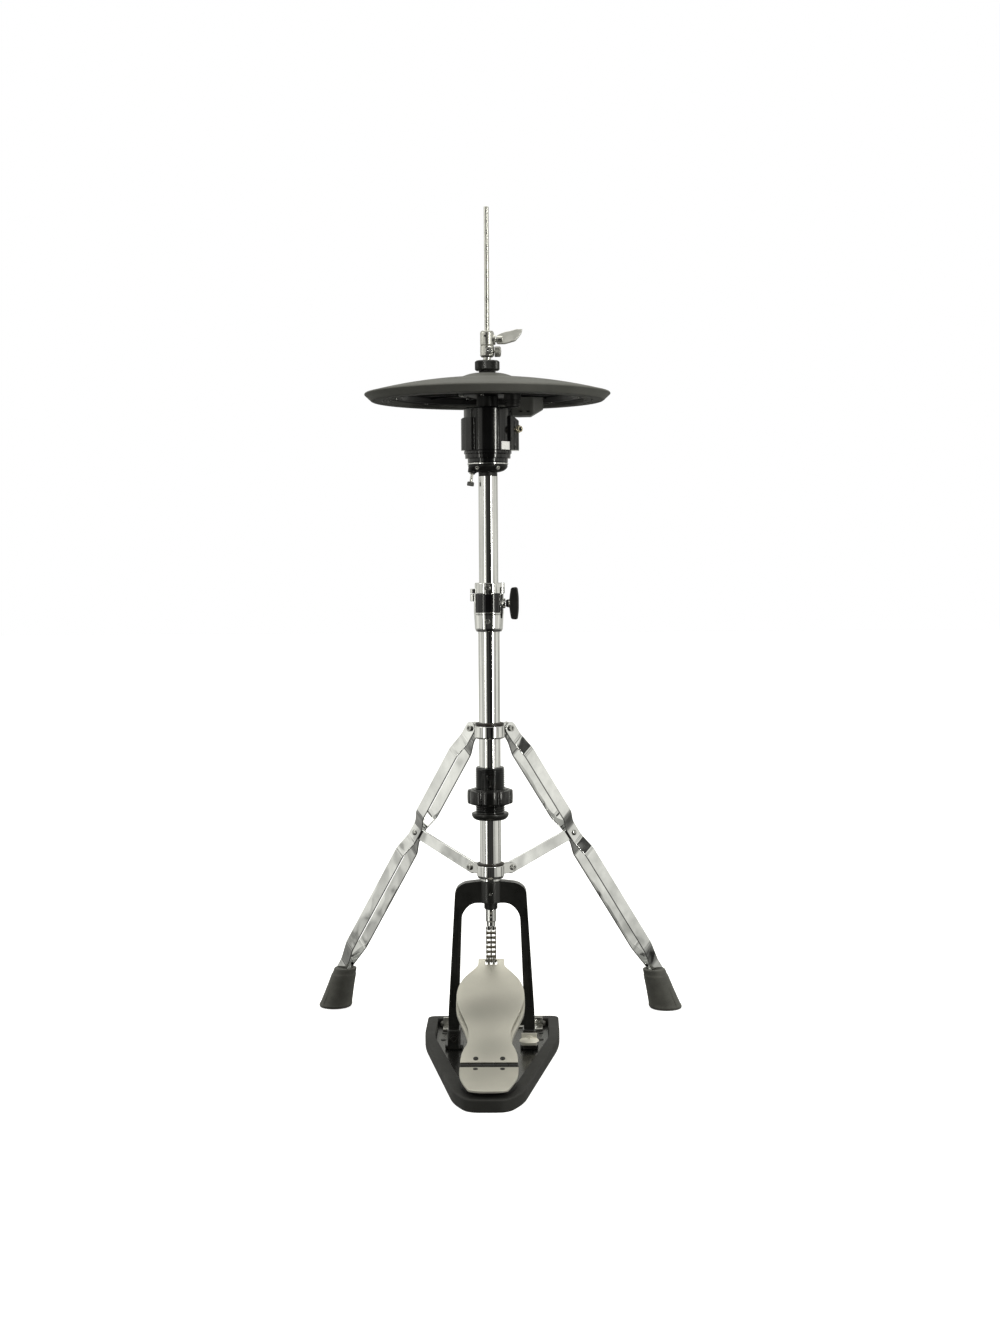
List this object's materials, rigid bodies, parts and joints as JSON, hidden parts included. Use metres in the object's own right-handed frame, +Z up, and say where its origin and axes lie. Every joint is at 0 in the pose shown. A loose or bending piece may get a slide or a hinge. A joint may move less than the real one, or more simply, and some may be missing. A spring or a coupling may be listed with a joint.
{
  "type": "electronic hi-hat on a pedal stand",
  "caption": "Hi-hat stand with a footboard, pull chain, sprung rod, column and folding legs, carrying a round rubber pad above a motion sensor.",
  "frame": {"origin": "on the column axis at floor level", "axes": "+Z up the column, -Y towards the player at the heel of the pedal, +X to the player's right"},
  "size_m": [0.5332, 0.5387, 1.116],
  "materials": {
    "ribbed_rubber": "grained charcoal rubber",
    "pad_rubber": "matt black rubber",
    "foot_rubber": "moulded dark grey rubber",
    "dark_steel": "satin grey plate",
    "black_casting": "semi-gloss black paint",
    "black_plastic": "glossy black moulding",
    "matt_plastic": "matt black moulding",
    "grey_plastic": "mid grey moulding",
    "chrome": "polished chrome plate",
    "nickel": "satin nickel plate",
    "steel": "zinc plated steel",
    "blasted_alloy": "bead-blasted casting",
    "felt": "pressed wool felt",
    "brass": "nickel-plated brass"
  },
  "bodies": {
    "stand": {"base_frame": "ribbed_rubber", "base_plate": "dark_steel", "heel_block": "matt_plastic", "heel_plate": "blasted_alloy", "hinge_rod": "black_casting", "rear_bracket": "nickel", "yoke": "black_casting", "yoke_bush": "matt_plastic", "yoke_set_screw": "steel", "base_bolt": "steel", "lower_tube": "chrome", "threaded_sleeve": "black_casting", "clamp_body": "chrome", "clamp_insert": "matt_plastic"},
    "pedal": {"footboard": "blasted_alloy", "footboard_rail": "blasted_alloy", "chain_anchor": "nickel"},
    "pull_rod": {"upper_pull_rod": "chrome", "lower_pull_rod": "steel", "rod_coupler": "chrome", "return_spring": "steel"},
    "chain": {"chain": "nickel"},
    "spring_carriage": {"spring_seat": "steel"},
    "tension_nut": {"tension_nut": "black_casting"},
    "base_wing_bolt": {"base_wing_bolt": "nickel"},
    "clamp_t_bolt": {"clamp_t_bolt": "matt_plastic"},
    "upper_tube": {"upper_tube": "chrome", "tube_bush": "matt_plastic", "clamp_collar": "chrome", "seat_cup": "chrome", "sensor_base": "black_plastic", "sensor_body": "black_plastic", "sensor_cover": "black_plastic", "jack_housing": "black_plastic", "sensor_jack": "brass"},
    "tilt_screw": {"tilt_screw": "matt_plastic"},
    "sensor_plunger": {"sensor_plunger": "black_plastic"},
    "pad": {"clutch_upper_body": "nickel", "clutch_lower_body": "nickel", "clutch_bottom_nut": "nickel", "felt_washer": "felt", "pad_cover": "pad_rubber", "pad_tray": "matt_plastic", "trigger_box": "grey_plastic", "jack_boot": "matt_plastic"},
    "clutch_wing_bolt": {"clutch_wing_bolt": "blasted_alloy"},
    "clutch_lock_knob": {"clutch_lock_knob": "nickel"},
    "pad_nut": {"pad_nut": "black_casting"},
    "lower_leg_collar": {"lower_leg_collar": "chrome", "left_brace_pin": "steel", "right_brace_pin": "steel"},
    "upper_leg_collar": {"upper_leg_collar": "chrome", "left_leg_pin": "steel", "right_leg_pin": "steel"},
    "left_leg": {"left_leg": "chrome", "left_foot": "foot_rubber"},
    "right_leg": {"right_leg": "chrome", "right_foot": "foot_rubber"},
    "left_brace": {"left_brace": "chrome"},
    "right_brace": {"right_brace": "chrome"}
  },
  "joints": [
    {"name": "pedal_hinge", "type": "hinge", "parent": "stand", "child": "pedal", "pos_m": [0, -0.18, 0.031], "axis": [-1, 0, 0], "range_deg": [0, 4.53], "stiffness_Nm_per_rad": 30, "springref_deg": -11.46},
    {"name": "rod_pull", "type": "slide", "parent": "stand", "child": "pull_rod", "axis": [0, 0, -1], "range_m": [0, 0.0155], "deforming": ["return_spring"]},
    {"name": "chain_swing", "type": "hinge", "parent": "pull_rod", "child": "chain", "pos_m": [0, 0, 0.1675], "axis": [1, 0, 0], "range_deg": [0, 8.97]},
    {"name": "plunger_slide", "type": "slide", "parent": "upper_tube", "child": "sensor_plunger", "axis": [0, 0, -1], "range_m": [0, 0.0155]},
    {"name": "height_slide", "type": "slide", "parent": "stand", "child": "upper_tube", "axis": [0, 0, 1], "range_m": [0, 0.06]},
    {"name": "clutch_slide", "type": "slide", "parent": "pull_rod", "child": "pad", "axis": [0, 0, 1], "range_m": [0, 0.06]},
    {"name": "clutch_wing_turn", "type": "hinge", "parent": "pad", "child": "clutch_wing_bolt", "pos_m": [0, 0, 0.944], "axis": [1, 0, 0], "range_deg": [-170, 170]},
    {"name": "lock_knob_turn", "type": "hinge", "parent": "pad", "child": "clutch_lock_knob", "pos_m": [0, 0, 0.9286], "axis": [1, 0, 0], "range_deg": [-180, 180]},
    {"name": "pad_nut_turn", "type": "hinge", "parent": "pad", "child": "pad_nut", "pos_m": [0, 0, 0.91], "axis": [0, 0, 1], "range_deg": [-180, 180]},
    {"name": "clamp_bolt_turn", "type": "hinge", "parent": "stand", "child": "clamp_t_bolt", "pos_m": [0.03, 0, 0.6], "axis": [1, 0, 0], "range_deg": [-180, 180]},
    {"name": "spring_seat_slide", "type": "slide", "parent": "stand", "child": "spring_carriage", "axis": [0, 0, 1], "range_m": [-0.006, 0.024]},
    {"name": "tension_nut_turn", "type": "hinge", "parent": "spring_carriage", "child": "tension_nut", "pos_m": [0, 0, 0.344], "axis": [0, 0, 1], "range_deg": [-865, 3457]},
    {"name": "leg_swivel", "type": "hinge", "parent": "stand", "child": "lower_leg_collar", "pos_m": [0, 0, 0.245], "axis": [0, 0, 1], "range_deg": [-35, 35]},
    {"name": "leg_collar_slide", "type": "slide", "parent": "lower_leg_collar", "child": "upper_leg_collar", "axis": [0, 0, 1], "range_m": [0, 0.115]},
    {"name": "left_leg_hinge", "type": "hinge", "parent": "upper_leg_collar", "child": "left_leg", "pos_m": [-0.02259, 0.02406, 0.433], "axis": [-0.729, -0.6845, 0], "range_deg": [0, 24.97]},
    {"name": "left_brace_hinge", "type": "hinge", "parent": "lower_leg_collar", "child": "left_brace", "pos_m": [-0.02499, 0.02661, 0.2452], "axis": [-0.729, -0.6845, 0], "range_deg": [-54.12, 0]},
    {"name": "right_leg_hinge", "type": "hinge", "parent": "upper_leg_collar", "child": "right_leg", "pos_m": [0.02406, 0.02259, 0.433], "axis": [-0.6845, 0.729, 0], "range_deg": [0, 24.97]},
    {"name": "right_brace_hinge", "type": "hinge", "parent": "lower_leg_collar", "child": "right_brace", "pos_m": [0.02661, 0.02499, 0.2452], "axis": [-0.6845, 0.729, 0], "range_deg": [-54.12, 0]},
    {"name": "base_bolt_turn", "type": "hinge", "parent": "stand", "child": "base_wing_bolt", "pos_m": [0.05, -0.02, 0.022], "axis": [0, -1, 0], "range_deg": [-8, 8]},
    {"name": "tilt_screw_turn", "type": "hinge", "parent": "upper_tube", "child": "tilt_screw", "pos_m": [-0.0232, -0.004, 0.754], "axis": [0.1571, 0, 0.9876], "range_deg": [-180, 180]}
  ],
  "couplings": [
    {"joint": "rod_pull", "follows": "pedal_hinge", "m_per_rad": 0.18988},
    {"joint": "chain_swing", "follows": "pedal_hinge", "ratio": 1.9162},
    {"joint": "plunger_slide", "follows": "pedal_hinge", "m_per_rad": 0.18988},
    {"joint": "clutch_slide", "follows": "height_slide", "ratio": 1},
    {"joint": "tension_nut_turn", "follows": "spring_seat_slide", "rad_per_m": 2513.3},
    {"joint": "left_leg_hinge", "follows": "leg_collar_slide", "rad_per_m": 3.7598},
    {"joint": "right_leg_hinge", "follows": "leg_collar_slide", "rad_per_m": 3.7598},
    {"joint": "left_brace_hinge", "follows": "leg_collar_slide", "rad_per_m": -8.1832},
    {"joint": "right_brace_hinge", "follows": "leg_collar_slide", "rad_per_m": -8.1832}
  ]
}
